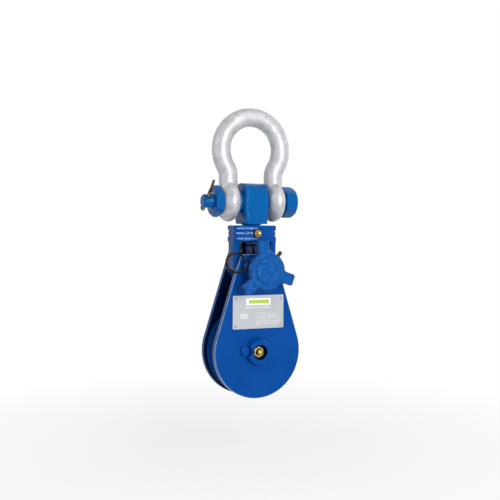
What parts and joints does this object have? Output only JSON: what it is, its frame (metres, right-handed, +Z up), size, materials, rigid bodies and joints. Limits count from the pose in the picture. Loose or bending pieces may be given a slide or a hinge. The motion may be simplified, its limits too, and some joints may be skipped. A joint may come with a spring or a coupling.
{
  "type": "snatch block",
  "caption": "Snatch block with a swinging side plate, a clamping knob with a pinned lock, and a swivel head hung in a bolted bow shackle.",
  "frame": {"origin": "the point inside the top of the shackle bow where a hook or sling carries the block", "axes": "+Z up, away from the sheave; +X along the shackle bolt towards its head; -Y towards the swinging plate and the knob"},
  "size_m": [0.1089, 0.0764, 0.316],
  "materials": {
    "galvanised_steel": "satin hot-dip galvanised",
    "bare_steel": "bare machined",
    "brass_wire": "bright drawn wire",
    "brass_nipple": "bright",
    "bronze": "machined bronze",
    "blue_paint": "gloss royal blue",
    "knob_paint": "gloss royal blue over a rough casting",
    "lock_pin_paint": "blue overspray on steel",
    "label_plate": "satin printed plate, left without words",
    "rivet_metal": "satin",
    "cast_sheave": "blue paint, worn in the groove",
    "black_pin": "blackened spring steel",
    "ring_wire": "dark brown oxide"
  },
  "bodies": {
    "shackle": {"shackle_bow": "galvanised_steel", "shackle_bolt": "blue_paint", "shackle_nut": "blue_paint", "cotter_pin": "brass_wire"},
    "head": {"swivel_head": "blue_paint", "swivel_nut": "blue_paint", "swivel_nut_pin": "bare_steel"},
    "block": {"crosshead": "blue_paint", "crosshead_nipple": "brass_nipple", "crosshead_bolts": "blue_paint", "thrust_washer": "blue_paint", "rear_plate": "blue_paint", "side_washer_rear": "bronze"},
    "front": {"front_plate": "blue_paint", "name_plate": "label_plate", "name_plate_rivets": "rivet_metal", "keeper_screw": "blue_paint", "axle": "blue_paint", "axle_nipple": "brass_nipple", "axle_nut": "blue_paint", "side_washer_front": "bronze"},
    "sheave": {"sheave": "cast_sheave", "sheave_bush": "bronze"},
    "knob": {"locking_knob": "knob_paint", "clamp_screw": "bare_steel", "knob_roll_pin": "black_pin"},
    "lock_pin": {"lock_pin": "lock_pin_paint"},
    "pull_ring": {"pull_ring": "ring_wire"}
  },
  "joints": [
    {"name": "shackle_hinge", "type": "hinge", "parent": "shackle", "child": "head", "pos_m": [0, 0, -0.0824], "axis": [1, 0, 0], "range_deg": [-90, 90]},
    {"name": "swivel_turn", "type": "hinge", "parent": "head", "child": "block", "pos_m": [0, 0, -0.1178], "axis": [0, 0, 1], "continuous": true},
    {"name": "plate_swing", "type": "hinge", "parent": "block", "child": "front", "pos_m": [0, 0, -0.245], "axis": [0, -1, 0], "range_deg": [0, 120]},
    {"name": "sheave_spin", "type": "hinge", "parent": "front", "child": "sheave", "pos_m": [0, 0, -0.245], "axis": [0, -1, 0], "continuous": true},
    {"name": "knob_turn", "type": "hinge", "parent": "block", "child": "knob", "pos_m": [0, -0.0194, -0.1563], "axis": [0, -1, 0], "range_deg": [0, 360]},
    {"name": "lock_pin_pull", "type": "slide", "parent": "knob", "child": "lock_pin", "axis": [-0.9659, 0, 0.2588], "range_m": [0, 0.045]},
    {"name": "pull_ring_swing", "type": "hinge", "parent": "lock_pin", "child": "pull_ring", "pos_m": [-0.01806, -0.0277, -0.15146], "axis": [0.2588, 0, 0.9659], "range_deg": [-15, 60]}
  ]
}
